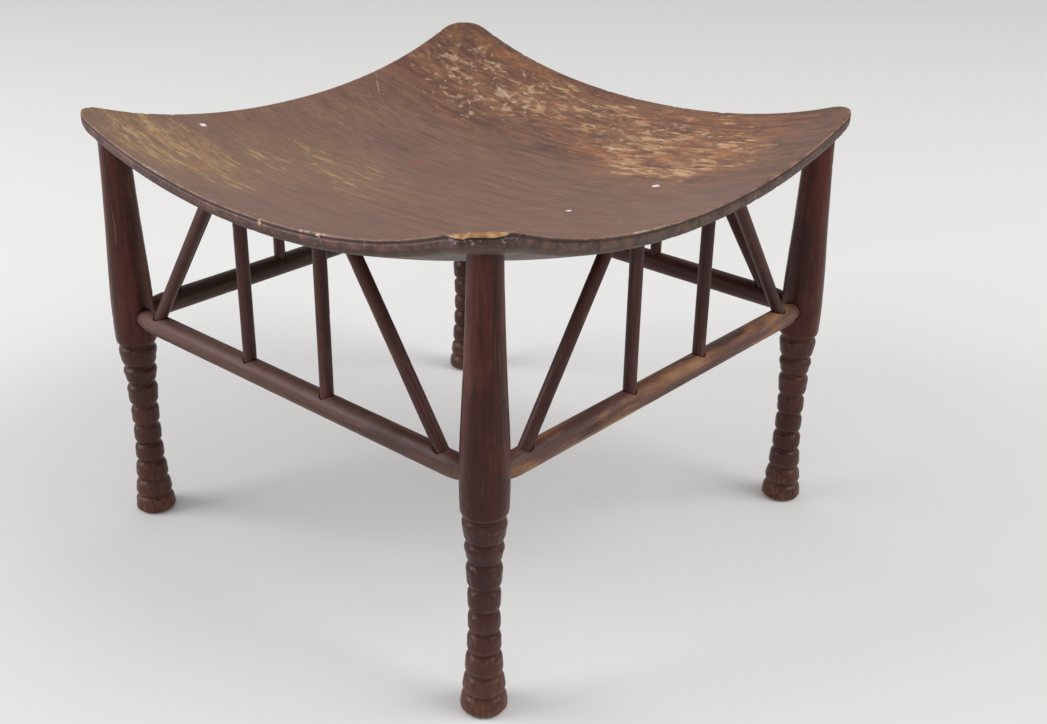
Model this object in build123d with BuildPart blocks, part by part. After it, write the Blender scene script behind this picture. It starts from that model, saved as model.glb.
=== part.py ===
from build123d import *
import math
import os

os.makedirs("parts", exist_ok=True)

# ---- driving dimensions, mm -------------------------------------------------
leg_spacing = 380.0           # between leg axes, both ways
leg_line = leg_spacing / 2    # distance of every leg, rail and spindle plane from the centre

seat_half = 213.0             # centre of the seat to each straight side
seat_corner_radius = 29.0
seat_thickness = 11.5
seat_centre_height = 285.0    # top surface at the middle of the dish
seat_dish = 4.03e-4           # rise with the square of the radius
seat_curl = 4.0e-9            # extra rise with the fourth power of the radius
seat_warp = 0.022             # the dish is steeper along one diagonal and flatter along the other
seat_blank_half = 230.0
seat_top_rounding = 2.0
seat_bottom_rounding = 4.0
seat_groove_drop = 2.4        # top surface down to the groove in the edge
seat_groove_width = 1.6
seat_groove_depth = 0.7

foot_rounding = 3.5
ring_shoulder = 5.5           # height of the rounded shoulder at each end of a ring
ring_notch = 2.8              # depth of the notch between two rings
# each turned ring from the floor up: height of its top, lower radius, upper radius
rings = [
    (14.0, 16.6, 16.0),
    (29.0, 15.0, 14.3),
    (46.5, 13.3, 12.8),
    (63.0, 11.9, 11.8),
    (80.0, 11.3, 11.3),
    (98.0, 11.3, 11.5),
    (117.5, 11.9, 12.5),
    (133.5, 12.2, 13.5),
    (152.0, 14.0, 15.2),
]
# the smooth shaft above the rings: height, radius
shaft = [
    (157.0, 16.2),
    (180.0, 16.6),
    (206.0, 16.0),
    (237.0, 14.5),
    (270.0, 13.0),
    (300.0, 12.0),
    (345.0, 11.0),
]
leg_tenon_radius = 7.0
leg_tenon_cover = 7.0         # top of the seat down to the top of the tenon, on the leg axis

rail_height = 177.5
rail_radius = 9.0
rail_tenon_radius = 7.2
rail_tenon_end = 8.0          # end of a rail tenon to the leg axis
rail_taper_start = 30.0       # where the taper begins, from the leg axis
rail_taper_end = 15.0

spindle_radius = 5.0
post_offset = 42.0            # upright spindles, either side of the middle of a rail
brace_foot_offset = 157.5     # slanted spindles, where their axis meets the rail axis
brace_top_offset = 74.5       # the same axis, at brace_top_height
brace_top_height = 300.0
brace_head_height = 302.5     # where the slanted spindles end, inside the seat
spindle_foot_height = 179.0
spindle_bury = 6.0            # depth of the upright spindles in the seat

joint_gap = 0.05              # clearance of every tenon in its mortise

# sides of the square: the outward direction as an angle about Z
sides = {"right": 0, "back": 90, "left": 180, "front": 270}
# corners: the quarter turn that carries the front right corner to each place
corners = {"front_right": 0, "back_right": 90, "back_left": 180, "front_left": 270}


# ---- shapes shared by several pieces ----------------------------------------
def dish_height(radius):
    """Height of the unwarped top surface at a distance from the centre."""
    return seat_centre_height + seat_dish * radius**2 + seat_curl * radius**4


def seat_height(x, y):
    """Height of the warped top surface."""
    along_steep = (x - y) / math.sqrt(2)
    along_flat = (x + y) / math.sqrt(2)
    return dish_height(math.hypot(along_steep * (1 + seat_warp), along_flat * (1 - seat_warp)))


def dished_band(upper_drop, lower_drop):
    """Solid between the seat's top surface lowered by two different amounts."""
    steps = [seat_blank_half * step / 5 for step in range(-5, 6)]
    rows = [[Vector(x, y, seat_height(x, y) - upper_drop) for y in steps] for x in steps]
    upper = Face.make_surface_from_array_of_points(rows)
    with BuildPart() as band:
        extrude(upper, amount=lower_drop - upper_drop, dir=(0, 0, -1))
    return band.part


def square_plan(inset):
    """Tall prism with the outline of the seat, moved in by inset."""
    with BuildPart() as prism:
        with BuildSketch(Plane.XY.offset(200)):
            width = 2 * (seat_half - inset)
            RectangleRounded(width, width, seat_corner_radius - inset)
        extrude(amount=200)
    return prism.part


def rod(start, end, radius):
    """Round rod between two points."""
    with BuildPart() as round_rod:
        with BuildSketch(Plane(origin=start, z_dir=end - start)):
            Circle(radius)
        extrude(amount=(end - start).length)
    return round_rod.part


def post_ends(offset):
    """Foot and head of an upright spindle on the right-hand side."""
    underside = dish_height(math.hypot(leg_line, offset)) - seat_thickness
    foot = Vector(leg_line, offset, spindle_foot_height)
    head = Vector(leg_line, offset, underside + spindle_bury)
    return foot, head


def brace_ends(direction):
    """Foot and head of a slanted spindle; direction is -1 or 1 along the side."""
    lean = (brace_foot_offset - brace_top_offset) / (brace_top_height - rail_height)
    foot_along = brace_foot_offset - lean * (spindle_foot_height - rail_height)
    head_along = brace_foot_offset - lean * (brace_head_height - rail_height)
    foot = Vector(leg_line, direction * foot_along, spindle_foot_height)
    head = Vector(leg_line, direction * head_along, brace_head_height)
    return foot, head


# every spindle of the right-hand side, by name
spindle_ends = {
    "post_1": post_ends(-post_offset),
    "post_2": post_ends(post_offset),
    "brace_1": brace_ends(-1),
    "brace_2": brace_ends(1),
}


def spindle_holes():
    """The four spindle holes of the right-hand side, each a little larger than its spindle."""
    with BuildPart() as holes:
        for foot, head in spindle_ends.values():
            overrun = (head - foot).normalized() * joint_gap
            add(rod(foot - overrun, head + overrun, spindle_radius + joint_gap))
    return holes.part


def rail_blank(gap):
    """The right-hand rail with its tapered ends and tenons, grown by gap."""
    tenon_reach = leg_line - rail_tenon_end + gap
    taper_inner = leg_line - rail_taper_start
    taper_outer = leg_line - rail_taper_end
    radius = rail_radius + gap
    tenon_radius = rail_tenon_radius + gap
    with BuildPart() as blank:
        with BuildSketch(Plane.YZ):
            with BuildLine():
                centre_line = Line((-tenon_reach, 0), (tenon_reach, 0))
                end_a = Line(centre_line @ 1, (tenon_reach, tenon_radius))
                tenon_a = Line(end_a @ 1, (taper_outer, tenon_radius))
                body = Line((taper_inner, radius), (-taper_inner, radius))
                taper_a = Spline(tenon_a @ 1, body @ 0, tangents=[(-1, 0.15), (-1, 0)])
                end_b = Line(centre_line @ 0, (-tenon_reach, tenon_radius))
                tenon_b = Line(end_b @ 1, (-taper_outer, tenon_radius))
                Spline(tenon_b @ 1, body @ 1, tangents=[(1, 0.15), (1, 0)])
            make_face()
        revolve(axis=Axis.Y)
    return Pos(leg_line, 0, rail_height) * blank.part


def rim_edges(board, drop):
    """Edges around the outside of the board that lie drop below its top surface."""
    found = ShapeList()
    for edge in board.edges():
        centre = edge.center()
        level = seat_height(centre.X, centre.Y) - drop
        outside = max(abs(centre.X), abs(centre.Y)) > seat_half - 15
        if outside and abs(centre.Z - level) < 2:
            found.append(edge)
    return found


def leg_profile():
    """Draw the turned outline of a leg, from the floor to the top of the shaft."""
    bow = 0.66
    height = 0.0
    inner = rings[0][1] - foot_rounding
    Line((0, 0), (inner, 0))
    for number, (top, lower_radius, upper_radius) in enumerate(rings):
        above_radius = rings[number + 1][1] if number + 1 < len(rings) else shaft[0][1]
        outer = min(upper_radius, above_radius) - ring_notch
        shoulder = foot_rounding if number == 0 else ring_shoulder
        low = height + shoulder
        high = top - ring_shoulder
        ThreePointArc(
            (inner, height),
            (inner + bow * (lower_radius - inner), height + (1 - bow) * shoulder),
            (lower_radius, low),
        )
        Line((lower_radius, low), (upper_radius, high))
        ThreePointArc(
            (upper_radius, high),
            (outer + bow * (upper_radius - outer), top - (1 - bow) * ring_shoulder),
            (outer, top),
        )
        inner = outer
        height = top
    points = [(radius, level) for level, radius in shaft]
    shaft_radius, shaft_base = points[0]
    ThreePointArc(
        (inner, height),
        (inner + bow * (shaft_radius - inner), height + (1 - bow) * (shaft_base - height)),
        (shaft_radius, shaft_base),
    )
    crown = Spline(*points, tangents=[(0.04, 1), (-0.02, 1)])
    Line(crown @ 1, (0, shaft[-1][0]))
    Line((0, shaft[-1][0]), (0, 0))


def leg_blank():
    """One turned leg on the Z axis, longer than needed at the top."""
    with BuildPart() as blank:
        with BuildSketch(Plane.XZ):
            with BuildLine():
                leg_profile()
            make_face()
        revolve(axis=Axis.Z)
    return blank.part


def leg_tenon(quarter_turn, gap):
    """Round tenon over the front right leg, as tall as the corner it will be turned to."""
    steep = quarter_turn in (corners["front_right"], corners["back_left"])
    top = seat_height(leg_line, -leg_line if steep else leg_line) - leg_tenon_cover
    foot = Vector(leg_line, -leg_line, 300)
    head = Vector(leg_line, -leg_line, top + gap)
    return rod(foot, head, leg_tenon_radius + gap)


# cutters and blanks, made once
right_holes = spindle_holes()
right_rail = rail_blank(0)
right_rail_mortise = rail_blank(joint_gap)
above_seat = dished_band(-60, seat_thickness + joint_gap)
turned_leg = leg_blank()


# ---- seat board --------------------------------------------------------------
groove_top = seat_groove_drop
groove_bottom = seat_groove_drop + seat_groove_width
groove_ring = dished_band(groove_top, groove_bottom) - square_plan(seat_groove_depth)

with BuildPart() as seat_board:
    add(dished_band(0, seat_thickness))
    add(square_plan(0), mode=Mode.INTERSECT)
    fillet(rim_edges(seat_board, 0), radius=seat_top_rounding)
    fillet(rim_edges(seat_board, seat_thickness), radius=seat_bottom_rounding)
    add(groove_ring, mode=Mode.SUBTRACT)
    for quarter_turn in sides.values():
        add(Rot(0, 0, quarter_turn) * right_holes, mode=Mode.SUBTRACT)
    for quarter_turn in corners.values():
        add(Rot(0, 0, quarter_turn) * leg_tenon(quarter_turn, joint_gap), mode=Mode.SUBTRACT)
seat_board.part.label = "seat_board"
export_step(seat_board.part, "parts/seat_board.step")


# ---- legs: turned, coped to the underside of the seat, with a tenon on top ---
for corner_name, quarter_turn in corners.items():
    turn = Rot(0, 0, quarter_turn)
    with BuildPart() as leg:
        add(turn * Pos(leg_line, -leg_line, 0) * turned_leg)
        add(above_seat, mode=Mode.SUBTRACT)
        add(turn * leg_tenon(quarter_turn, 0))
        add(turn * right_rail_mortise, mode=Mode.SUBTRACT)
        add(turn * Rot(0, 0, sides["front"]) * right_rail_mortise, mode=Mode.SUBTRACT)
    leg.part.label = "leg_" + corner_name
    export_step(leg.part, "parts/leg_" + corner_name + ".step")


# ---- rails: round, tapered at the ends, with four spindle holes --------------
for side_name, quarter_turn in sides.items():
    with BuildPart() as rail:
        add(Rot(0, 0, quarter_turn) * right_rail)
        add(Rot(0, 0, quarter_turn) * right_holes, mode=Mode.SUBTRACT)
    rail.part.label = "rail_" + side_name
    export_step(rail.part, "parts/rail_" + side_name + ".step")


# ---- spindles: two upright and two slanted on every side ---------------------
for side_name, quarter_turn in sides.items():
    for spindle_name, (foot, head) in spindle_ends.items():
        kind, number = spindle_name.split("_")
        node_name = kind + "_" + side_name + "_" + number
        with BuildPart() as spindle:
            add(Rot(0, 0, quarter_turn) * rod(foot, head, spindle_radius))
        spindle.part.label = node_name
        export_step(spindle.part, "parts/" + node_name + ".step")
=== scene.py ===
import bpy
import math
import numpy as np
from mathutils import Matrix, Vector
from mathutils.bvhtree import BVHTree


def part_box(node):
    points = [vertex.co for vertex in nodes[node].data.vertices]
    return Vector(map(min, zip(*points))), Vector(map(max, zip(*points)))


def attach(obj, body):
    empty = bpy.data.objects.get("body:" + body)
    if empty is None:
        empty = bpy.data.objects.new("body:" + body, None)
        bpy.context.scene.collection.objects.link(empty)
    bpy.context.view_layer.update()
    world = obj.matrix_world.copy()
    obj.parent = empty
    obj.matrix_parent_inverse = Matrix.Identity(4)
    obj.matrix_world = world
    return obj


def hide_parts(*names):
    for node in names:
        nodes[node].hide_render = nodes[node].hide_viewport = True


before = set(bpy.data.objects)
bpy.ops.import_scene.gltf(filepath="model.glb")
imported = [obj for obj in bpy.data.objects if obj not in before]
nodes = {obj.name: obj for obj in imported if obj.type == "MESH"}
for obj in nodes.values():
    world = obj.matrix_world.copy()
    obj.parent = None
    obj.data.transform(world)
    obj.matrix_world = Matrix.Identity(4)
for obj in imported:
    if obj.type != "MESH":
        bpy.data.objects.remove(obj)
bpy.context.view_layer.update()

mm_in_m = 1000


# ---- camera ------------------------------------------------------------------
def make_camera():
    """A camera a little above the seat, looking down at one corner of the stool."""
    place = (0.6798, -0.7180, 0.6015)
    yaw, pitch, roll = 0.716, 0.444, 0.017
    lens_mm, sensor_mm = 45.86, 36.0
    nearest, farthest = 0.05, 50.0
    forward = Vector((-math.sin(yaw) * math.cos(pitch), math.cos(yaw) * math.cos(pitch), -math.sin(pitch)))
    level_right = Vector((math.cos(yaw), math.sin(yaw), 0.0))
    level_up = level_right.cross(forward)
    right = math.cos(roll) * level_right + math.sin(roll) * level_up
    up = -math.sin(roll) * level_right + math.cos(roll) * level_up
    data = bpy.data.cameras.new("camera")
    data.sensor_width = sensor_mm
    data.lens = lens_mm
    data.clip_start = nearest
    data.clip_end = farthest
    camera = bpy.data.objects.new("camera", data)
    bpy.context.collection.objects.link(camera)
    axes = Matrix((right, up, -forward)).transposed().to_4x4()
    camera.matrix_world = Matrix.Translation(place) @ axes
    bpy.context.scene.camera = camera


# ---- node graph helper -------------------------------------------------------
class Graph:
    """Adds linked nodes to a node tree. Masks are 0 where nothing shows and 1 where all of it does."""

    def __init__(self, tree):
        self.tree = tree

    def node(self, kind, **settings):
        made = self.tree.nodes.new(kind)
        for key, value in settings.items():
            setattr(made, key, value)
        return made

    def put(self, socket, value):
        if isinstance(value, bpy.types.NodeSocket):
            self.tree.links.new(value, socket)
        elif socket.type == "RGBA" and len(value) == 3:
            socket.default_value = (*value, 1.0)
        else:
            socket.default_value = value

    def math(self, operation, a, b, clamp=False):
        made = self.node("ShaderNodeMath", operation=operation, use_clamp=clamp)
        self.put(made.inputs[0], a)
        self.put(made.inputs[1], b)
        return made.outputs[0]

    def plus(self, a, b, clamp=False):
        return self.math("ADD", a, b, clamp)

    def minus(self, a, b):
        return self.math("SUBTRACT", a, b)

    def times(self, a, b):
        return self.math("MULTIPLY", a, b)

    def vector(self, operation, a, b=(0.0, 0.0, 0.0)):
        made = self.node("ShaderNodeVectorMath", operation=operation)
        self.put(made.inputs[0], a)
        self.put(made.inputs[1], b)
        gives_number = operation in ("LENGTH", "DOT_PRODUCT", "DISTANCE")
        return made.outputs["Value"] if gives_number else made.outputs[0]

    def along(self, place, direction):
        return self.vector("DOT_PRODUCT", place, direction)

    def mix(self, factor, a, b):
        made = self.node("ShaderNodeMix", data_type="RGBA")
        self.put(made.inputs["Factor"], factor)
        self.put(made.inputs[6], a)
        self.put(made.inputs[7], b)
        return made.outputs[2]

    def coat(self, colour, paint, mask, strength):
        """Paint laid over a colour where the mask is, at no more than the strength."""
        return self.mix(self.times(mask, strength), colour, paint)

    def noise(self, place, scale, detail, roughness, distortion=0.0):
        made = self.node("ShaderNodeTexNoise")
        self.put(made.inputs["Vector"], place)
        self.put(made.inputs["Scale"], scale)
        self.put(made.inputs["Detail"], detail)
        self.put(made.inputs["Roughness"], roughness)
        self.put(made.inputs["Distortion"], distortion)
        return made.outputs[0]

    def grain(self, place, scale, detail, roughness, distortion=0.0):
        """Noise with its own scale along each axis, so that it runs in streaks."""
        return self.noise(self.vector("MULTIPLY", place, scale), 1.0, detail, roughness, distortion)

    def attribute(self, name):
        return self.node("ShaderNodeAttribute", attribute_name=name).outputs["Fac"]

    def ramp(self, value, low, high):
        """0 at low and 1 at high, whichever of them is larger."""
        made = self.node("ShaderNodeMapRange", interpolation_type="SMOOTHSTEP")
        self.put(made.inputs["Value"], value)
        self.put(made.inputs["From Min"], low)
        self.put(made.inputs["From Max"], high)
        return made.outputs[0]


class Finish(Graph):
    """One new material, with its shader and the place on the object."""

    def __init__(self, name, specular=0.35):
        self.material = bpy.data.materials.new(name)
        self.material.use_nodes = True
        super().__init__(self.material.node_tree)
        self.shader = self.tree.nodes["Principled BSDF"]
        self.shader.inputs["Specular IOR Level"].default_value = specular
        self.position = self.node("ShaderNodeTexCoord").outputs["Object"]

    def set(self, colour, roughness):
        self.put(self.shader.inputs["Base Color"], colour)
        self.put(self.shader.inputs["Roughness"], roughness)

    def turned(self, turn):
        made = self.node("ShaderNodeMapping")
        self.put(made.inputs["Vector"], self.position)
        self.put(made.inputs["Rotation"], turn)
        return made.outputs[0]

    def bump(self, height, strength, distance):
        made = self.node("ShaderNodeBump")
        self.put(made.inputs["Height"], height)
        self.put(made.inputs["Strength"], strength)
        self.put(made.inputs["Distance"], distance)
        self.put(self.shader.inputs["Normal"], made.outputs[0])

    def between(self, value, low, high, blur):
        """1 where value lies between low and high."""
        rise = self.ramp(value, low - blur, low + blur)
        fall = self.ramp(value, high + blur, high - blur)
        return self.times(rise, fall)

    def mark(self, centre, half_length, half_width, angle=0):
        """1 inside a long thin ellipse drawn on the seat, in mm and degrees, with a soft edge."""
        solid, faded = 0.5, 1.0
        made = self.node("ShaderNodeMapping", vector_type="TEXTURE")
        self.put(made.inputs["Vector"], self.position)
        self.put(made.inputs["Location"], (centre[0] / mm_in_m, centre[1] / mm_in_m, 0.0))
        self.put(made.inputs["Rotation"], (0.0, 0.0, math.radians(angle)))
        self.put(made.inputs["Scale"], (half_length / mm_in_m, half_width / mm_in_m, 1.0))
        flat = self.vector("MULTIPLY", made.outputs[0], (1.0, 1.0, 0.0))
        return self.ramp(self.vector("LENGTH", flat), faded, solid)


# ---- surface noise for meshes ------------------------------------------------
def cell_noise(x, y, seed):
    """Smooth value noise between 0 and 1 on a unit lattice."""
    # large primes that scatter neighbouring cells
    column_prime, row_prime, seed_prime, bits_prime = 374761393, 668265263, 982451653, 1274126177
    word, half_word = 0xFFFFFFFF, 0xFFFF
    column, row = np.floor(x).astype(np.int64), np.floor(y).astype(np.int64)
    fx, fy = x - column, y - row
    fx, fy = fx * fx * (3 - 2 * fx), fy * fy * (3 - 2 * fy)

    def corner(i, j):
        h = (i * column_prime + j * row_prime + seed * seed_prime) & word
        h = ((h ^ (h >> 13)) * bits_prime) & word
        return ((h ^ (h >> 16)) & half_word) / float(half_word)

    near = corner(column, row) * (1 - fx) + corner(column + 1, row) * fx
    far = corner(column, row + 1) * (1 - fx) + corner(column + 1, row + 1) * fx
    return near * (1 - fy) + far * fy


def layered_noise(x, y, seed, layers=4):
    """Value noise with finer and weaker layers on top, between 0 and 1."""
    fade, seed_step = 0.55, 17
    total, weight = 0.0, 0.0
    for layer in range(layers):
        total = total + cell_noise(x * 2**layer, y * 2**layer, seed + seed_step * layer) * fade**layer
        weight += fade**layer
    return total / weight


def step(value, low, high):
    """0 up to low and 1 from high on, eased between them."""
    t = np.clip((value - low) / (high - low), 0.0, 1.0)
    return t * t * (3 - 2 * t)


def blob(x, y, centre, reach):
    """1 in the middle of an ellipse, falling to 0 at its edge."""
    distance = np.hypot((x - centre[0]) / reach[0], (y - centre[1]) / reach[1])
    return 1 - step(distance, 0.35, 1.0)


# ---- seat board --------------------------------------------------------------
seat_high = Vector(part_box("seat_board")[1])
seat_half = seat_high.x
seat_corner = 0.029
seat_thick = 0.0115

# the edge of the board in mm: how far the top is rounded in and down, how far the side is upright,
# and how far the underside is rounded in
nose_in, nose_down = 2.6, 2.1
side_bottom = 7.5
round_below = 4.0
groove = ((0.0, 2.3), (0.5, 2.6), (0.7, 3.2), (0.5, 3.8), (0.0, 4.1))


def dish_terms(x, y):
    """Even powers of the distance along both diagonals of the seat, in fifths of a metre."""
    per_metre = 5.0
    u, v = (x - y) * per_metre, (x + y) * per_metre
    return np.stack([np.ones_like(u), u**2, v**2, u**4, u**2 * v**2, v**4], axis=-1)


def fit_dish():
    """Coefficients of the seat's smooth top surface, measured on the CAD mesh."""
    rays = 25
    above = 1.0
    tree = BVHTree.FromObject(nodes["seat_board"], bpy.context.evaluated_depsgraph_get())
    rows, heights = [], []
    reach = seat_half * 0.95
    for x in np.linspace(-reach, reach, rays):
        for y in np.linspace(-reach, reach, rays):
            hit = tree.ray_cast(Vector((x, y, above)), Vector((0, 0, -1)))[0]
            if hit is not None:
                rows.append(dish_terms(np.array(x), np.array(y)))
                heights.append(hit.z)
    return np.linalg.lstsq(np.array(rows), np.array(heights), rcond=None)[0]


def square_to_outline(s, t, inset):
    """Point of the rounded square, moved in by inset, for s and t from -1 to 1."""
    half, corner = seat_half - inset, seat_corner - inset
    straight = half - corner
    x, y = s * half, t * half
    a = np.clip((np.abs(x) - straight) / corner, 0, 1)
    b = np.clip((np.abs(y) - straight) / corner, 0, 1)
    in_corner = (a > 0) & (b > 0)
    round_a = a * np.sqrt(1 - b * b / 2)
    round_b = b * np.sqrt(1 - a * a / 2)
    x = np.where(in_corner, np.sign(x) * (straight + corner * round_a), x)
    y = np.where(in_corner, np.sign(y) * (straight + corner * round_b), y)
    return x, y


def inset_of(x, y):
    """Distance in mm from the board's outline, inward."""
    straight = (seat_half - seat_corner) * mm_in_m
    over_x, over_y = np.abs(x) - straight, np.abs(y) - straight
    outside = np.hypot(np.maximum(over_x, 0), np.maximum(over_y, 0))
    return seat_corner * mm_in_m - outside - np.minimum(np.maximum(over_x, over_y), 0)


def grid_loop(count):
    """Indices (i, j) once round the edge of a count x count grid of cells."""
    loop = [(i, 0) for i in range(count)]
    loop += [(count, j) for j in range(count)]
    loop += [(count - i, count) for i in range(count)]
    loop += [(0, count - j) for j in range(count)]
    return loop


def rim_profile():
    """Inset and drop in mm of each line of points round the rim, from the top down."""
    quarter_turn = 1.5708
    nose_angles = (0.5, 1.0, quarter_turn)
    under_angles = (0.4, 0.8, 1.2, quarter_turn)
    profile = [(nose_in - nose_in * math.sin(a), nose_down - nose_down * math.cos(a)) for a in nose_angles]
    profile += [*groove, (0.0, 5.8), (0.0, side_bottom)]
    for a in under_angles:
        profile.append((round_below - round_below * math.cos(a), side_bottom + round_below * math.sin(a)))
    return profile


def make_seat():
    """The dished board as one closed mesh: fine top, nosed and grooved rim, coarser underside."""
    fine, coarse = 256, 128
    under_inset = 6.0
    clearance = 0.00005
    dish = fit_dish()
    points, drops, faces = [], [], []

    def add_points(s, t, inset, drop):
        first = sum(len(p) for p in points)
        x, y = square_to_outline(np.array(s, float), np.array(t, float), inset / mm_in_m)
        points.append(np.stack([x, y, dish_terms(x, y) @ dish - drop / mm_in_m], axis=-1))
        drops.append(np.full(len(x), drop))
        return first

    def add_grid(count, inset, drop):
        axis = np.linspace(-1, 1, count + 1)
        s, t = np.meshgrid(axis, axis, indexing="ij")
        return add_points(s.ravel(), t.ravel(), inset, drop)

    top_first = add_grid(fine, nose_in, 0.0)
    for i in range(fine):
        for j in range(fine):
            a = top_first + i * (fine + 1) + j
            faces.append((a, a + fine + 1, a + fine + 2, a + 1))
    edge = grid_loop(fine)
    edge_s = [2 * i / fine - 1 for i, j in edge]
    edge_t = [2 * j / fine - 1 for i, j in edge]
    loop = [top_first + i * (fine + 1) + j for i, j in edge]
    for inset, drop in rim_profile():
        first = add_points(edge_s, edge_t, inset, drop)
        below = [first + k for k in range(len(edge))]
        for k in range(len(edge)):
            n = (k + 1) % len(edge)
            faces.append((loop[k], below[k], below[n], loop[n]))
        loop = below
    under_first = add_grid(coarse, under_inset, seat_thick * mm_in_m)
    for i in range(coarse):
        for j in range(coarse):
            a = under_first + i * (coarse + 1) + j
            faces.append((a, a + 1, a + coarse + 2, a + coarse + 1))
    # the rim has two points for each one of the coarse grid
    inner = [under_first + i * (coarse + 1) + j for i, j in grid_loop(coarse)]
    for k in range(len(inner)):
        n = (k + 1) % len(inner)
        left, middle, right = loop[2 * k], loop[2 * k + 1], loop[(2 * k + 2) % len(loop)]
        faces += [(left, inner[k], middle), (middle, inner[n], right), (middle, inner[k], inner[n])]

    place = np.concatenate(points)
    drop = np.concatenate(drops)
    masks = seat_masks(place[:, 0] * mm_in_m, place[:, 1] * mm_in_m, drop)
    wear_seat(place, drop, masks)
    place[:, 2] = np.minimum(place[:, 2], seat_high.z - clearance)
    mesh = bpy.data.meshes.new("seat_board_worn")
    mesh.from_pydata(place.tolist(), [], faces)
    for name, values in masks.items():
        layer = mesh.attributes.new(name, "FLOAT", "POINT")
        layer.data.foreach_set("value", values.astype(np.float32))
    mesh.shade_smooth()
    board = bpy.data.objects.new("seat_board_worn", mesh)
    bpy.context.collection.objects.link(board)
    mesh.materials.append(seat_material())
    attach(board, "root")
    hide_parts("seat_board")


def seat_masks(x, y, drop):
    """Fields over the seat, in mm: where the finish is warm, peeled, streaked, flaked or rubbed."""
    drift = 26 * (layered_noise(x / 60, y / 34, seed=3) - 0.5)
    bent_x = x + 9 * (layered_noise(x / 15, y / 15, seed=5, layers=2) - 0.5)
    bent_y = y + 7 * (layered_noise(x / 13, y / 13, seed=7, layers=2) - 0.5)
    masks = {"drop": drop}
    masks["warm"] = step(y + 0.10 * x + drift, 58, 112)

    peel_right = blob(x, y + drift, centre=(98, 132), reach=(118, 86))
    peel_back = blob(x, y + drift, centre=(0, 170), reach=(215, 64))
    masks["bare"] = np.maximum(peel_right, 0.80 * peel_back)
    masks["peel"] = layered_noise(bent_x / 13, bent_y / 3.6, seed=19) + 0.34 * (masks["bare"] - 1)

    yellow_front = blob(x, y + drift * 0.5, centre=(-150, -162), reach=(115, 74))
    yellow_middle = blob(x, y + drift, centre=(-95, -75), reach=(120, 80))
    masks["ochre"] = np.maximum(yellow_front, 0.68 * yellow_middle)
    masks["yellow"] = layered_noise(bent_x / 34, bent_y / 4.6, seed=23) + 0.36 * (masks["ochre"] - 1)

    flakes_left = blob(x, y + drift * 0.4, centre=(-125, 155), reach=(125, 76))
    flakes_right = blob(x, y, centre=(60, 150), reach=(150, 70))
    flaked = np.maximum(flakes_left, 0.72 * flakes_right)
    masks["chips"] = layered_noise(bent_x / 6.5, bent_y / 3.4, seed=11, layers=3) + 0.34 * (flaked - 1)

    bevel_slope, bevel_width = 0.8, 5.2
    masks["front_tip"] = blob(x, y, centre=(203, -206), reach=(30, 30))
    ragged = bevel_width - inset_of(x, y) + 3.4 * (layered_noise(x / 5, y / 5, seed=79, layers=3) - 0.5)
    rubbed_corner = blob(x, y, centre=(199, -206), reach=(22, 20))
    masks["bevel"] = bevel_slope * rubbed_corner * np.clip(ragged, 0.0, bevel_width)
    masks["edge"] = step(np.maximum(np.abs(x), np.abs(y)), 205, 211)
    return masks


def wear_seat(place, drop, masks):
    """Grain, chips and rubbed edges, cut into the mesh. All depths are in mm."""
    corner_sag = 2.2
    hollow_below = 2.0
    x, y = place[:, 0] * mm_in_m, place[:, 1] * mm_in_m
    tip = masks["front_tip"]
    on_top = 1 - step(drop, 1.5, 4.0)
    on_side = step(drop, 0.5, 2.0)
    underneath = drop > 11.4
    nicks = step(layered_noise(x / 5, y / 5, seed=53, layers=2), 0.66, 0.78) * masks["edge"]

    cut = 0.14 * layered_noise(x / 30, y / 3.4, seed=29, layers=3)
    cut = cut + 0.30 * layered_noise(x / 60, y / 60, seed=41, layers=2)
    cut = cut + 0.30 * step(masks["chips"], 0.58, 0.66) + 0.22 * step(masks["peel"], 0.46, 0.56)
    cut = cut + 0.5 * nicks + 0.4 * tip * layered_noise(x / 7, y / 7, seed=67)
    place[:, 2] -= cut * on_top / mm_in_m

    # the front corner is worn down from above and sags below; the middle is thinner underneath
    lower = np.clip(drop / side_bottom, 0.0, 1.0)
    place[:, 2] -= ((1 - lower) * masks["bevel"] + lower * corner_sag * tip) / mm_in_m
    place[:, 2] += hollow_below * step(inset_of(x, y), 34, 78) * underneath / mm_in_m

    bite = (0.55 * nicks + 0.30 * layered_noise(x / 18, y / 18, seed=71, layers=2)) * on_side
    bite = bite + 0.6 * tip * layered_noise(x / 8, (y + 3 * drop) / 8, seed=73, layers=3) * on_side
    reach = np.maximum(np.hypot(x, y), 1.0)
    place[:, 0] -= bite * x / reach / mm_in_m
    place[:, 1] -= bite * y / reach / mm_in_m


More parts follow.
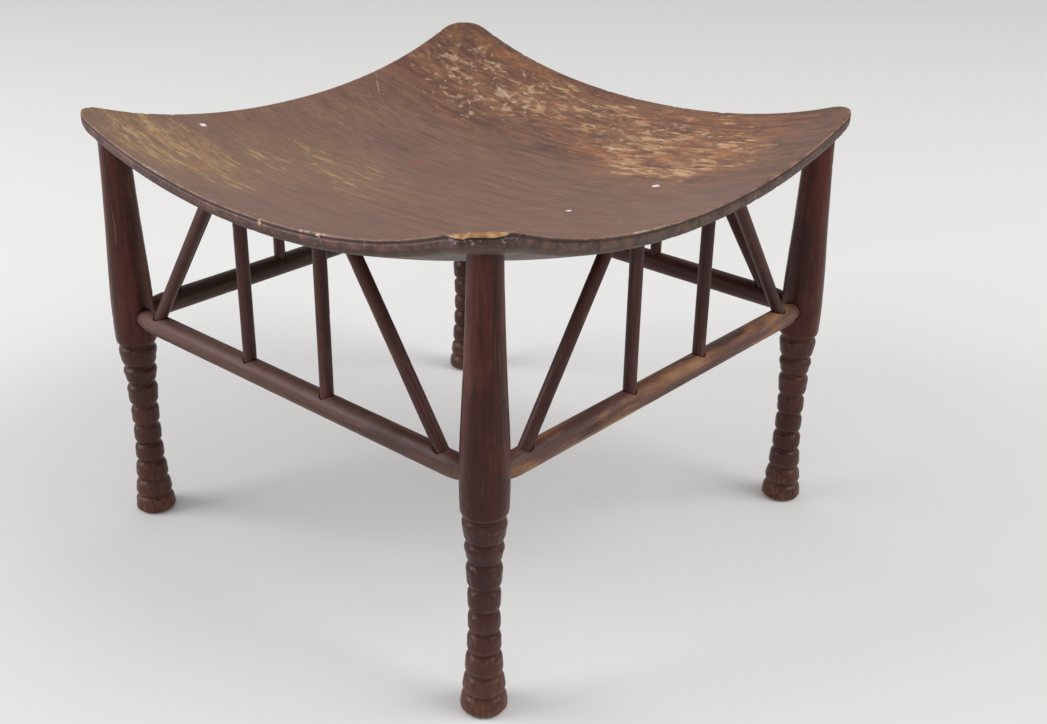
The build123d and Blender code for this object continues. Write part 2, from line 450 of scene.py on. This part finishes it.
# longer scratches and stains on the seat, in mm and degrees:
# place, half length, half width, direction, colour, strength
seat_scratches = (
    ((-161, 61), 20, 0.9, 4, (0.45, 0.33, 0.25), 0.55),
    ((-196, 84), 22, 0.9, -38, (0.55, 0.42, 0.34), 0.6),
    ((-75, 146), 14, 1.3, -50, (0.60, 0.46, 0.36), 0.7),
    ((-112, 158), 13, 2.2, -14, (0.62, 0.50, 0.42), 0.7),
    ((-168, 168), 16, 1.7, 10, (0.60, 0.48, 0.40), 0.65),
    ((-120, 133), 9, 2.4, 62, (0.58, 0.45, 0.37), 0.6),
    ((-8, 148), 16, 4.0, 40, (0.46, 0.30, 0.14), 0.6),
    ((104, 118), 16, 6.0, -8, (0.50, 0.30, 0.16), 0.6),
    ((-62, 2), 9, 7.0, 0, (0.30, 0.075, 0.035), 0.55),
    ((-30, 126), 14, 9.0, 10, (0.36, 0.110, 0.042), 0.6),
    ((24, 112), 26, 14.0, 0, (0.37, 0.130, 0.050), 0.6),
    ((158, 145), 10, 6.0, 10, (0.45, 0.29, 0.13), 0.55),
    ((-60, -42), 20, 1.0, -30, (0.36, 0.25, 0.14), 0.5),
    ((-110, -66), 26, 1.2, -18, (0.36, 0.25, 0.12), 0.5),
    ((170, 30), 12, 1.2, -20, (0.42, 0.27, 0.16), 0.5),
    ((165, -30), 20, 0.9, -55, (0.42, 0.33, 0.27), 0.4),
    ((196, 158), 42, 62, 0, (0.150, 0.088, 0.070), 0.65),
    ((186, 52), 34, 96, 0, (0.185, 0.110, 0.086), 0.50),
    ((120, -190), 30, 1.6, -12, (0.40, 0.28, 0.21), 0.45),
    ((160, -168), 22, 1.2, -4, (0.40, 0.28, 0.21), 0.40),
)
# pale nicks in the rim, in mm: place, half width along x, half width along y, depth
rim_nicks = (
    ((62, -213), 24, 8, 1.3),
    ((68, -213), 5, 8, 3.2),
    ((10, -213), 2.2, 8, 6.0),
    ((-105, -213), 20, 8, 0.8),
    ((213, -60), 8, 26, 1.3),
)
# white paint splashes, in metres: place, size
paint_splashes = (
    ((0.125, 0.067), 0.0052),
    ((0.107, -0.013), 0.0048),
    ((-0.194, -0.106), 0.0052),
    ((0.017, 0.027), 0.0032),
)


def seat_material():
    g = Finish("seat_wood")
    p = g.position
    bands = g.grain(p, (11.0, 150.0, 60.0), 6.0, 0.62, 0.5)
    fibre = g.grain(p, (30.0, 820.0, 300.0), 3.0, 0.6)
    pores = g.grain(p, (34.0, 560.0, 300.0), 3.0, 0.6)
    thin = g.grain(p, (21.0, 400.0, 300.0), 5.0, 0.66, 0.6)
    cloud = g.noise(p, 9.0, 4.0, 0.6)
    mottle = g.grain(p, (26.0, 48.0, 30.0), 4.0, 0.65, 0.8)
    ragged = g.grain(p, (230.0, 620.0, 300.0), 4.0, 0.65)

    # cool finish at the front, warmer at the back, both clouded and mottled
    warm_part = g.attribute("warm")
    cool = g.mix(g.ramp(bands, 0.28, 0.72), (0.158, 0.075, 0.050), (0.232, 0.118, 0.077))
    warm = g.mix(g.ramp(bands, 0.36, 0.64), (0.110, 0.040, 0.023), (0.265, 0.112, 0.056))
    tint = g.mix(g.ramp(mottle, 0.60, 0.42), (0.225, 0.138, 0.078), (0.185, 0.080, 0.062))
    orange, ochre_tint, bare_tint = (0.40, 0.140, 0.055), (0.300, 0.178, 0.072), (0.380, 0.180, 0.080)
    colour = g.mix(warm_part, cool, warm)
    colour = g.coat(colour, tint, g.ramp(cloud, 0.35, 0.70), 0.45)
    colour = g.coat(colour, orange, g.ramp(mottle, 0.52, 0.70), g.times(warm_part, 0.55))
    colour = g.coat(colour, ochre_tint, g.attribute("ochre"), 0.30)
    colour = g.coat(colour, bare_tint, g.attribute("bare"), 0.32)
    bruise = g.ramp(g.grain(p, (24.0, 40.0, 30.0), 3.0, 0.6, 0.6), 0.50, 0.66)
    colour = g.coat(colour, (0.088, 0.043, 0.038), bruise, g.plus(0.18, g.times(warm_part, 0.46)))
    smear = g.ramp(g.grain(p, (14.0, 70.0, 30.0), 4.0, 0.6, 0.8), 0.50, 0.68)
    colour = g.coat(colour, (0.290, 0.165, 0.098), smear, 0.22)

    # grain, stronger towards the back
    back = g.ramp(g.along(p, (-0.35, 1.0, 0.0)), -0.10, 0.10)
    grain_depth = g.plus(0.14, g.times(back, 0.42))
    colour = g.coat(colour, (0.035, 0.014, 0.009), g.ramp(fibre, 0.52, 0.30), grain_depth)
    colour = g.coat(colour, (0.045, 0.018, 0.012), g.ramp(pores, 0.58, 0.74), grain_depth)
    colour = g.coat(colour, (0.42, 0.27, 0.18), g.ramp(thin, 0.56, 0.72), 0.20)

    # finish peeled to paler wood, in dashes along the grain
    rough_edge = g.times(g.minus(ragged, 0.5), 0.30)
    dash = g.grain(p, (52.0, 250.0, 200.0), 5.0, 0.62, 0.5)
    peel = g.plus(g.plus(g.times(g.attribute("peel"), 0.45), g.times(dash, 0.85)), rough_edge)
    peel = g.plus(peel, g.times(g.attribute("bare"), 0.14))
    peeled = g.ramp(peel, 0.74, 0.84)
    peel_colour = g.mix(g.ramp(mottle, 0.40, 0.60), (0.44, 0.185, 0.085), (0.68, 0.425, 0.230))
    peel_colour = g.coat(peel_colour, (0.17, 0.065, 0.03), g.ramp(fibre, 0.55, 0.35), 0.5)
    colour = g.coat(colour, peel_colour, peeled, 0.80)

    # yellow streaks where the finish has worn thin
    ochre = g.attribute("ochre")
    yellow = g.plus(g.times(g.attribute("yellow"), 0.45), g.times(thin, 0.85))
    yellow = g.plus(yellow, g.plus(rough_edge, g.times(ochre, 0.16)))
    streaked = g.ramp(yellow, 0.70, 0.94)
    streak_colour = g.mix(g.ramp(mottle, 0.35, 0.65), (0.36, 0.200, 0.080), (0.60, 0.400, 0.190))
    colour = g.coat(colour, (0.120, 0.062, 0.032), g.ramp(thin, 0.48, 0.34), g.times(ochre, 0.34))
    colour = g.coat(colour, streak_colour, streaked, 0.74)

    # small pale flakes, each with a halo
    chips = g.plus(g.attribute("chips"), g.times(g.minus(ragged, 0.5), 0.75))
    chipped = g.ramp(chips, 0.56, 0.72)
    halo = g.times(g.ramp(chips, 0.40, 0.54), g.minus(1.0, chipped))
    halo_colour = g.mix(g.ramp(mottle, 0.46, 0.54), (0.075, 0.030, 0.020), (0.44, 0.245, 0.110))
    flake_colour = g.mix(g.ramp(mottle, 0.40, 0.60), (0.50, 0.310, 0.175), (0.66, 0.52, 0.42))
    colour = g.coat(colour, halo_colour, halo, 0.42)
    colour = g.coat(colour, flake_colour, chipped, 0.70)
    for centre, half_length, half_width, angle, paint, strength in seat_scratches:
        broken = g.times(g.mark(centre, half_length, half_width, angle), g.ramp(ragged, 0.40, 0.62))
        colour = g.coat(colour, paint, broken, strength)

    # rim: redder, with painted shade in the groove and along its lower rounded edge, rubbed pale along its
    # upper edge, duller at the right
    drop = g.attribute("drop")
    rim_noise = g.noise(p, 90.0, 4.0, 0.65)
    fine_noise = g.noise(p, 300.0, 4.0, 0.7)
    rim_patch = g.noise(p, 34.0, 4.0, 0.65)
    rim = g.mix(g.ramp(rim_noise, 0.35, 0.66), (0.060, 0.021, 0.016), (0.165, 0.064, 0.045))
    rim = g.coat(rim, (0.034, 0.016, 0.013), g.ramp(rim_patch, 0.48, 0.60), 0.6)
    rim = g.coat(rim, (0.34, 0.20, 0.15), g.ramp(fine_noise, 0.58, 0.68), 0.55)
    # painted shade: the lower, downward-facing rounded edge of the rim is darkened
    rim = g.mix(g.ramp(drop, 6.8, 9.5), rim, (0.040, 0.013, 0.010))
    right_end = g.ramp(g.along(p, (1.0, 0.0, 0.0)), 0.120, 0.200)
    dull_rim = g.mix(g.ramp(rim_noise, 0.40, 0.60), (0.045, 0.024, 0.015), (0.100, 0.056, 0.034))
    rim = g.coat(rim, dull_rim, g.times(right_end, 0.80), g.ramp(fine_noise, 0.66, 0.52))
    colour = g.mix(g.ramp(drop, 0.7, 1.6), colour, rim)
    # painted shade: the groove is darkened
    colour = g.coat(colour, (0.030, 0.011, 0.009), g.between(drop, 1.6, 3.9, 0.5), 0.55)
    crest = g.times(g.between(drop, 0.25, 1.1, 0.25), g.ramp(rim_noise, 0.38, 0.58))
    colour = g.coat(colour, (0.42, 0.25, 0.17), crest, 0.50)
    for centre, half_x, half_y, depth in rim_nicks:
        shown = g.times(g.ramp(drop, 0.02, 0.3), g.ramp(drop, depth + 0.6, depth - 0.4))
        spot = g.times(g.mark(centre, half_x, half_y), shown)
        colour = g.coat(colour, (0.60, 0.44, 0.35), spot, g.ramp(fine_noise, 0.44, 0.62))

    # front corner: rubbed to bare wood above, dark and scuffed on the side
    tip = g.plus(g.attribute("bevel"), g.times(g.minus(fine_noise, 0.5), 2.6))
    tip_top = g.times(g.ramp(tip, 0.30, 1.30), g.ramp(drop, 2.5, 2.1))
    rubbed = g.mix(g.ramp(rim_noise, 0.4, 0.6), (0.36, 0.175, 0.075), (0.60, 0.37, 0.160))
    colour = g.coat(colour, rubbed, tip_top, 0.84)
    tip_side = g.times(g.attribute("front_tip"), g.between(drop, 2.6, 8.0, 0.6))
    colour = g.coat(colour, (0.030, 0.012, 0.014), tip_side, 0.55)
    scuffed = g.times(tip_side, g.ramp(fine_noise, 0.56, 0.64))
    colour = g.coat(colour, (0.34, 0.30, 0.33), scuffed, 0.7)

    # a little darker at the back left, and plain underneath
    deep_back = g.ramp(g.along(p, (0.0, 1.0, 0.0)), 0.04, 0.15)
    left_side = g.ramp(g.along(p, (1.0, 0.0, 0.0)), 0.14, 0.02)
    colour = g.coat(colour, (0.030, 0.018, 0.014), g.times(deep_back, left_side), 0.11)
    under_colour = g.mix(bands, (0.066, 0.040, 0.029), (0.135, 0.088, 0.064))
    colour = g.mix(g.ramp(drop, 9.0, 11.4), colour, under_colour)

    flat = g.vector("MULTIPLY", p, (1.0, 1.0, 0.0))
    blot = g.times(g.grain(p, (700.0, 380.0, 500.0), 4.0, 0.7), 0.0050)
    for centre, size in paint_splashes:
        away = g.plus(g.vector("DISTANCE", flat, (*centre, 0.0)), blot)
        speck = g.ramp(away, size * 1.08, size * 0.86)
        colour = g.coat(colour, (0.85, 0.82, 0.77), speck, g.ramp(drop, 0.6, 0.2))

    # worn places are rougher and lower
    worn = g.plus(peeled, g.plus(streaked, chipped), clamp=True)
    rough = g.plus(g.times(bands, 0.14), g.times(worn, 0.18))
    g.set(colour, g.plus(rough, 0.36))
    relief = g.plus(g.times(fibre, 0.6), g.minus(bands, g.times(worn, 0.6)))
    g.bump(relief, 0.35, 0.0004)
    return g.material


# ---- turned and round pieces -------------------------------------------------
# top of the ringed part of the legs, in metres
rings_top = 0.160


def wood_material(kind, turn, palette, tone, worn):
    """Stained wood whose grain runs along local Z after the turn."""
    g = Finish(kind + "_wood", specular=0.25)
    p = g.turned(turn)
    bands = g.grain(p, (150.0, 150.0, 6.0), 6.0, 0.62, 0.3)
    fibre = g.grain(p, (640.0, 640.0, 14.0), 3.0, 0.6)
    cloud = g.noise(p, 16.0, 4.0, 0.6)
    speckle = g.grain(p, (330.0, 330.0, 150.0), 4.0, 0.7)
    dark, middle, pale = (tuple(c * tone for c in colour) for colour in palette)
    colour = g.mix(g.ramp(bands, 0.32, 0.62), dark, middle)
    colour = g.coat(colour, pale, g.ramp(fibre, 0.56, 0.72), 0.45)
    colour = g.coat(colour, pale, g.ramp(cloud, 0.50, 0.75), 0.30)
    blotch = g.ramp(g.grain(p, (34.0, 34.0, 13.0), 4.0, 0.65, 0.5), 0.44, 0.64)
    colour = g.coat(colour, g.mix(0.50, dark, middle), blotch, 0.48)
    streak = g.ramp(g.grain(p, (260.0, 260.0, 13.0), 5.0, 0.7, 0.4), 0.62, 0.70)
    colour = g.coat(colour, (0.250, 0.115, 0.075), streak, 0.36)
    patch = g.grain(p, (22.0, 22.0, 7.0), 3.0, 0.6, 0.4)
    colour = g.coat(colour, g.mix(0.20, dark, (0.020, 0.013, 0.008)), g.ramp(patch, 0.53, 0.66), 0.62)
    colour = g.coat(colour, g.mix(0.45, middle, pale), g.ramp(patch, 0.47, 0.34), 0.42)
    scrape = g.ramp(g.grain(p, (480.0, 480.0, 30.0), 3.0, 0.6, 0.3), 0.60, 0.68)
    scrape = g.times(scrape, g.ramp(cloud, 0.50, 0.62))
    colour = g.coat(colour, (0.270, 0.140, 0.105), scrape, 0.26)
    if worn:
        rubbed = g.ramp(g.grain(p, (70.0, 70.0, 10.0), 5.0, 0.65, 0.4), 0.42, 0.62)
        bare = g.mix(g.ramp(cloud, 0.4, 0.6), (0.19, 0.072, 0.028), (0.35, 0.180, 0.078))
        colour = g.coat(colour, bare, rubbed, worn)
    if kind == "leg":
        height = g.along(g.position, (0.0, 0.0, 1.0))
        ringed = g.ramp(height, rings_top, rings_top - 0.010)
        dull = g.mix(g.ramp(cloud, 0.35, 0.65), (0.034, 0.0105, 0.0100), (0.070, 0.0260, 0.0185))
        colour = g.coat(colour, dull, ringed, 0.75)
        colour = g.coat(colour, pale, g.times(g.ramp(speckle, 0.60, 0.70), ringed), 0.35)
        foot = g.times(g.ramp(height, 0.050, 0.010), g.ramp(speckle, 0.30, 0.74))
        colour = g.coat(colour, (0.190, 0.088, 0.044), foot, 0.50)
    edges = g.node("ShaderNodeNewGeometry").outputs["Pointiness"]
    # convex edges and ring crests lightened: partly rubbed wear, partly a painted highlight
    crest = g.times(g.ramp(edges, 0.505, 0.535), g.ramp(speckle, 0.42, 0.60))
    colour = g.coat(colour, g.mix(0.5, pale, (0.30, 0.16, 0.11)), crest, 0.40)
    # painted shade: hollows, ring notches and joints darkened where pointiness is low
    colour = g.coat(colour, (0.010, 0.004, 0.004), g.ramp(edges, 0.495, 0.465), 0.22)
    rough = g.plus(g.times(cloud, 0.20), g.times(speckle, 0.16))
    g.set(colour, g.plus(0.19 if kind == "leg" else 0.28, rough))
    g.bump(g.plus(bands, fibre), 0.22, 0.0003)
    return g.material


def worn_surface(kind, turn):
    """Geometry node group that wears a piece inward: hand-tool unevenness, dents and open grain, in mm."""
    group = bpy.data.node_groups.new(kind + "_wear", "GeometryNodeTree")
    group.interface.new_socket("Geometry", in_out="INPUT", socket_type="NodeSocketGeometry")
    group.interface.new_socket("Geometry", in_out="OUTPUT", socket_type="NodeSocketGeometry")
    g = Graph(group)
    start, end = g.node("NodeGroupInput"), g.node("NodeGroupOutput")
    place = g.node("GeometryNodeInputPosition").outputs[0]
    normal = g.node("GeometryNodeInputNormal").outputs[0]
    turned = g.node("ShaderNodeVectorRotate", rotation_type="EULER_XYZ")
    g.put(turned.inputs["Vector"], place)
    g.put(turned.inputs["Rotation"], turn)
    swell = g.noise(place, 42.0, 2.0, 0.5)
    dent = g.ramp(g.noise(place, 120.0, 2.0, 0.5), 0.60, 0.72)
    grain = g.grain(turned.outputs[0], (420.0, 420.0, 10.0), 2.0, 0.6)
    depth = g.plus(0.04, g.times(swell, 0.36))
    depth = g.plus(depth, g.times(dent, 0.26))
    depth = g.plus(depth, g.times(grain, 0.14))
    if kind == "leg":
        height = g.along(place, (0.0, 0.0, 1.0))
        nick = g.ramp(g.grain(place, (120.0, 120.0, 170.0), 2.0, 0.5), 0.50, 0.72)
        nick = g.times(nick, g.ramp(height, rings_top, rings_top - 0.010))
        depth = g.plus(depth, g.times(nick, 0.40))
    strength = {"leg": 1.0, "rail": 0.65}.get(kind, 0.5)
    inward = g.node("ShaderNodeVectorMath", operation="SCALE")
    g.put(inward.inputs[0], normal)
    g.put(inward.inputs["Scale"], g.times(depth, -0.001 * strength))
    move = g.node("GeometryNodeSetPosition")
    g.put(move.inputs["Geometry"], start.outputs[0])
    g.put(move.inputs["Offset"], inward.outputs[0])
    g.put(end.inputs[0], move.outputs[0])
    return group


def grain_turn(node):
    """Rotation that brings the length of a round piece to Z, rounded so that like pieces share it."""
    mesh = nodes[node].data
    flat = np.empty(len(mesh.vertices) * 3, dtype=np.float32)
    mesh.vertices.foreach_get("co", flat)
    place = flat.reshape(-1, 3).astype(float)
    place -= (place.min(axis=0) + place.max(axis=0)) / 2
    length = Vector(np.linalg.eigh(place.T @ place)[1][:, 2])
    if length.z < 0:
        length = -length
    turn = length.rotation_difference(Vector((0, 0, 1))).to_euler("XYZ")
    return tuple(round(angle, 2) for angle in turn)


# dark, middle and pale colours of each stain
red_stain = ((0.030, 0.0046, 0.0024), (0.100, 0.0160, 0.0080), (0.200, 0.062, 0.036))
plum_stain = ((0.030, 0.0085, 0.0072), (0.078, 0.0230, 0.0190), (0.170, 0.078, 0.062))
olive_stain = ((0.030, 0.0130, 0.0080), (0.085, 0.0440, 0.0290), (0.160, 0.092, 0.062))
brown_stain = ((0.054, 0.0210, 0.0175), (0.142, 0.0640, 0.0530), (0.270, 0.150, 0.120))
# stain, tone and wear of each kind of piece, and of the single pieces that differ from their kind
finishes = {
    "leg": (red_stain, 0.84, 0.0),
    "rail": (brown_stain, 0.84, 0.0),
    "post": (plum_stain, 0.85, 0.0),
    "brace": (plum_stain, 0.85, 0.0),
    "rail_right": (brown_stain, 0.84, 0.80),
    "rail_back": (plum_stain, 0.95, 0.0),
    "rail_left": (olive_stain, 0.80, 0.0),
}


def finish_round_pieces():
    """Even faces, worn edges, wear and a wood finish for every leg, rail and spindle."""
    voxel = 0.00075
    made = {}
    for node, piece in nodes.items():
        kind = node.split("_")[0]
        if kind not in finishes:
            continue
        turn = grain_turn(node)
        key = (kind, turn, *finishes.get(node, finishes[kind]))
        if key not in made:
            made[key] = (wood_material(*key), worn_surface(kind, turn))
        material, wear = made[key]
        piece.data.materials.clear()
        piece.data.materials.append(material)
        remesh = piece.modifiers.new("even faces", "REMESH")
        remesh.mode = "VOXEL"
        remesh.voxel_size = voxel
        remesh.use_smooth_shade = True
        rounding = piece.modifiers.new("worn edges", "SMOOTH")
        rounding.factor = 0.5
        rounding.iterations = 5 if kind == "leg" else 2
        piece.modifiers.new("wear", "NODES").node_group = wear


# ---- stage -------------------------------------------------------------------
def make_stage():
    """A plain pale floor that reaches past every view."""
    half = 60.0
    corners = [(-half, -half, 0), (half, -half, 0), (half, half, 0), (-half, half, 0)]
    mesh = bpy.data.meshes.new("floor")
    mesh.from_pydata(corners, [], [(0, 1, 2, 3)])
    floor = bpy.data.objects.new("floor", mesh)
    bpy.context.collection.objects.link(floor)
    g = Finish("floor_paper")
    g.set((0.83, 0.825, 0.815), 0.9)
    mesh.materials.append(g.material)


def softbox(name, place, size, power):
    """A rectangular light that faces the middle of the stool."""
    data = bpy.data.lights.new(name, "AREA")
    data.shape = "RECTANGLE"
    data.size, data.size_y = size
    data.energy = power
    lamp = bpy.data.objects.new(name, data)
    bpy.context.collection.objects.link(lamp)
    lamp.location = place
    lamp.rotation_mode = "QUATERNION"
    lamp.rotation_quaternion = (Vector((0.0, 0.0, 0.15)) - Vector(place)).to_track_quat("-Z", "Y")


def make_light():
    world = bpy.data.worlds.new("studio")
    bpy.context.scene.world = world
    world.use_nodes = True
    sky = world.node_tree.nodes["Background"]
    sky.inputs["Color"].default_value = (1.0, 1.0, 1.0, 1.0)
    sky.inputs["Strength"].default_value = 0.56
    softbox("softbox_left", place=(-1.75, -1.95, 1.6), size=(1.8, 1.5), power=46.5)
    softbox("softbox_right", place=(2.30, 1.25, 2.6), size=(2.2, 1.8), power=52.0)


make_camera()
make_stage()
make_light()
bpy.context.scene.view_settings.view_transform = "Standard"

make_seat()
finish_round_pieces()
